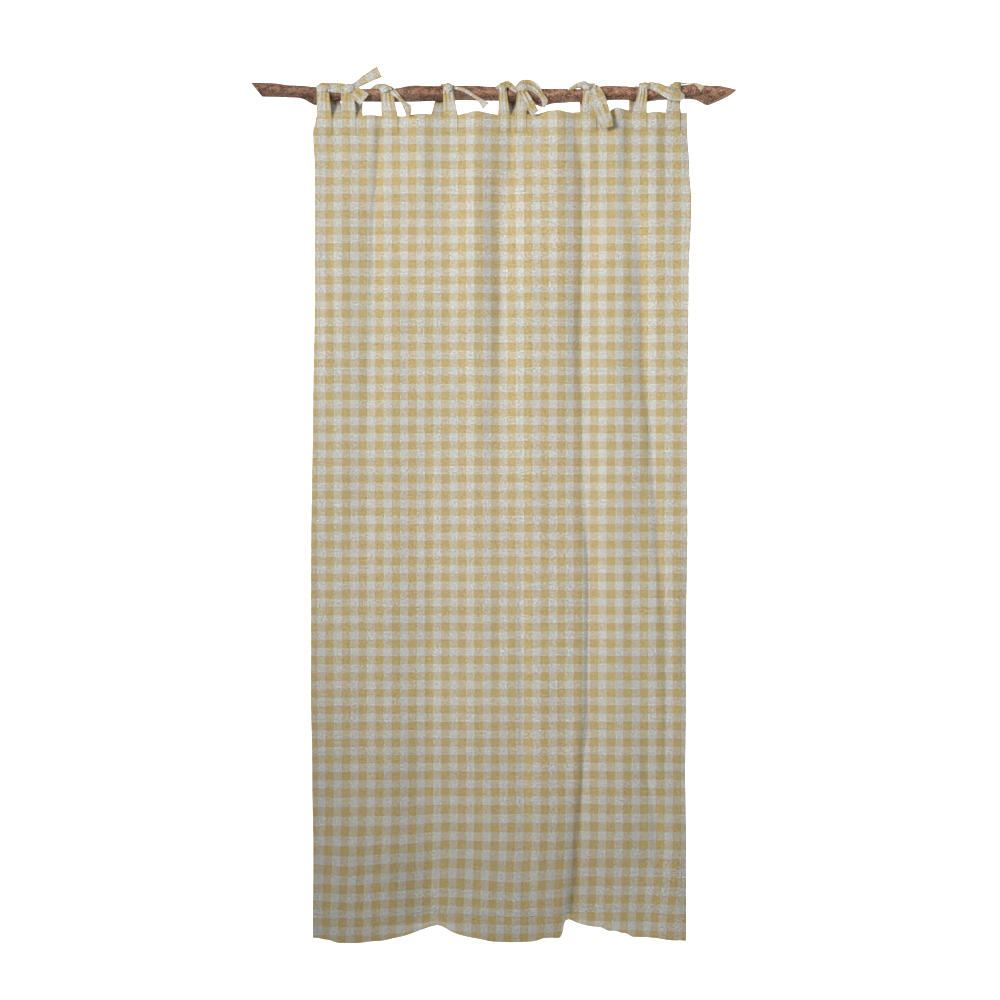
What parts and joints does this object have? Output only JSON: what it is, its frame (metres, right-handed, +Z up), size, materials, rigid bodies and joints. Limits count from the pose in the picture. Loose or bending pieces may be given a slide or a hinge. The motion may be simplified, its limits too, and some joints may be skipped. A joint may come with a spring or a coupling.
{
  "type": "gingham tie-top curtain on a branch rod",
  "caption": "Flat woven gingham curtain panel hung by knotted ribbon ties from a rustic branch used as its rod.",
  "frame": {"origin": "on the branch's axis line, above the middle of the panel", "axes": "+Z up, -Y the front of the curtain, +X to the right seen from the front"},
  "size_m": [1.2599, 0.0995, 2.2621],
  "materials": {
    "gingham_cloth": "matt twill-woven cotton gingham, mustard and cream",
    "tie_cloth": "matt twill-woven cotton gingham ribbon, mustard and cream",
    "bark": "dry reddish brown bark, rough"
  },
  "bodies": {
    "root": {"curtain_panel": "gingham_cloth", "branch": "bark", "tie_1_front": "tie_cloth", "tie_1_back": "tie_cloth", "tie_2_front": "tie_cloth", "tie_2_back": "tie_cloth", "tie_3_front": "tie_cloth", "tie_3_back": "tie_cloth", "tie_4_front": "tie_cloth", "tie_4_back": "tie_cloth", "tie_5_front": "tie_cloth", "tie_5_back": "tie_cloth", "tie_6_front": "tie_cloth", "tie_6_back": "tie_cloth", "tie_7_front": "tie_cloth", "tie_7_back": "tie_cloth", "tie_8_front": "tie_cloth", "tie_8_back": "tie_cloth", "tie_9_front": "tie_cloth", "tie_9_back": "tie_cloth"}
  },
  "joints": []
}
